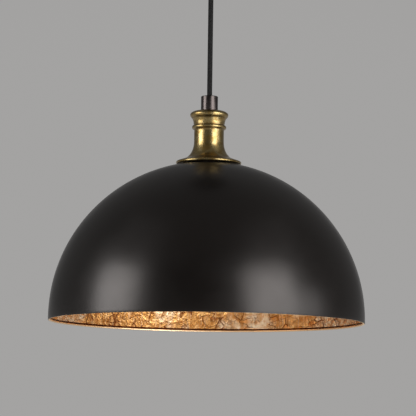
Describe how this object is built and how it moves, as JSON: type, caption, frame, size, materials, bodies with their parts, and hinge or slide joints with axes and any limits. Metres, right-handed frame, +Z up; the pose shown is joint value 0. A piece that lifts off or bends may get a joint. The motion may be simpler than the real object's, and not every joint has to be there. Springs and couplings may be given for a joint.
{
  "type": "pendant ceiling light",
  "caption": "Pendant light: a hemispherical metal shade, dark outside and gold-leafed inside, under a turned brass cap on a round cord from a ceiling canopy.",
  "frame": {"origin": "the middle of the ceiling bracket's top face, on the lamp's axis, where it lies against the ceiling", "axes": "+Z up along the cord and the shade axis, +X along the bracket, towards its terminal block; the lamp hangs down along -Z"},
  "size_m": [0.4, 0.4, 0.4871],
  "materials": {
    "shade_paint": "satin very dark brown-black lacquer on spun steel",
    "metal_leaf": "variegated copper and gold leaf, wrinkled, with dark lap lines",
    "antique_brass": "brushed antique brass with a mottled patina",
    "dark_bronze": "polished dark bronze plating",
    "zinc_steel": "zinc plated",
    "black_plastic": "moulded black phenolic",
    "glazed_ceramic": "white glazed steatite",
    "fibre_washer": "pressed fibre",
    "black_cord": "round black flex with a fine braided cover",
    "brown_core": "brown insulation",
    "blue_core": "blue insulation",
    "green_core": "green and yellow insulation",
    "contact_brass": "bright rolled brass",
    "clear_glass": "clear",
    "filament_wire": "wound wire"
  },
  "bodies": {
    "ceiling": {"mounting_bracket": "zinc_steel", "ceiling_screw_left": "zinc_steel", "ceiling_screw_right": "zinc_steel", "canopy": "shade_paint", "canopy_screw_left": "dark_bronze", "canopy_screw_right": "dark_bronze", "cord_outlet": "dark_bronze", "outlet_nut": "zinc_steel", "terminal_block": "glazed_ceramic", "block_screw": "zinc_steel", "terminal_screw_1": "contact_brass", "terminal_screw_2": "contact_brass", "terminal_screw_3": "contact_brass", "terminal_screw_4": "contact_brass", "bracket_earth_screw": "contact_brass", "ceiling_live_core": "brown_core", "ceiling_neutral_core": "blue_core", "ceiling_earth_core": "green_core"},
    "cord_top": {"cord_stub": "black_cord", "cord_stop": "zinc_steel", "stop_screw": "zinc_steel"},
    "lamp": {"cord": "black_cord", "cord_grip": "dark_bronze", "grip_screw": "dark_bronze", "nipple": "zinc_steel", "nipple_nut": "zinc_steel", "brass_cap": "antique_brass", "shade": "shade_paint", "leaf_lining": "metal_leaf", "shade_washer": "fibre_washer", "shade_ring": "black_plastic", "holder_cap": "contact_brass", "holder_body": "black_plastic", "contact_block": "glazed_ceramic", "screw_shell": "contact_brass", "live_screw": "contact_brass", "neutral_screw": "contact_brass", "holder_earth_screw": "contact_brass", "live_core": "brown_core", "neutral_core": "blue_core", "earth_core": "green_core"},
    "bulb_travel": {"bulb_contact": "contact_brass"},
    "bulb": {"bulb_insulator": "black_plastic", "bulb_base": "zinc_steel", "bulb_glass": "clear_glass", "bulb_stem": "clear_glass", "bulb_filament": "filament_wire"},
    "contact": {"centre_contact": "contact_brass"}
  },
  "joints": [
    {"name": "cord_twist", "type": "hinge", "parent": "ceiling", "child": "cord_top", "pos_m": [0, 0, -0.033], "axis": [0, 0, 1], "range_deg": [-180, 180], "stiffness_Nm_per_rad": 0.02},
    {"name": "swing", "type": "hinge", "parent": "cord_top", "child": "lamp", "pos_m": [0, 0, -0.033], "axis": [0, 1, 0], "range_deg": [-30, 30]},
    {"name": "bulb_unscrew", "type": "slide", "parent": "lamp", "child": "bulb_travel", "axis": [0, 0, -1], "range_m": [0, 0.0254]},
    {"name": "bulb_turn", "type": "hinge", "parent": "bulb_travel", "child": "bulb", "pos_m": [0, 0, -0.262], "axis": [0, 0, -1], "range_deg": [0, 2521]},
    {"name": "contact_flex", "type": "hinge", "parent": "lamp", "child": "contact", "pos_m": [-0.009, 0, -0.23363], "axis": [0, -1, 0], "range_deg": [0, 6], "stiffness_Nm_per_rad": 0.3}
  ],
  "couplings": [
    {"joint": "bulb_turn", "follows": "bulb_unscrew", "rad_per_m": 1731.4}
  ]
}
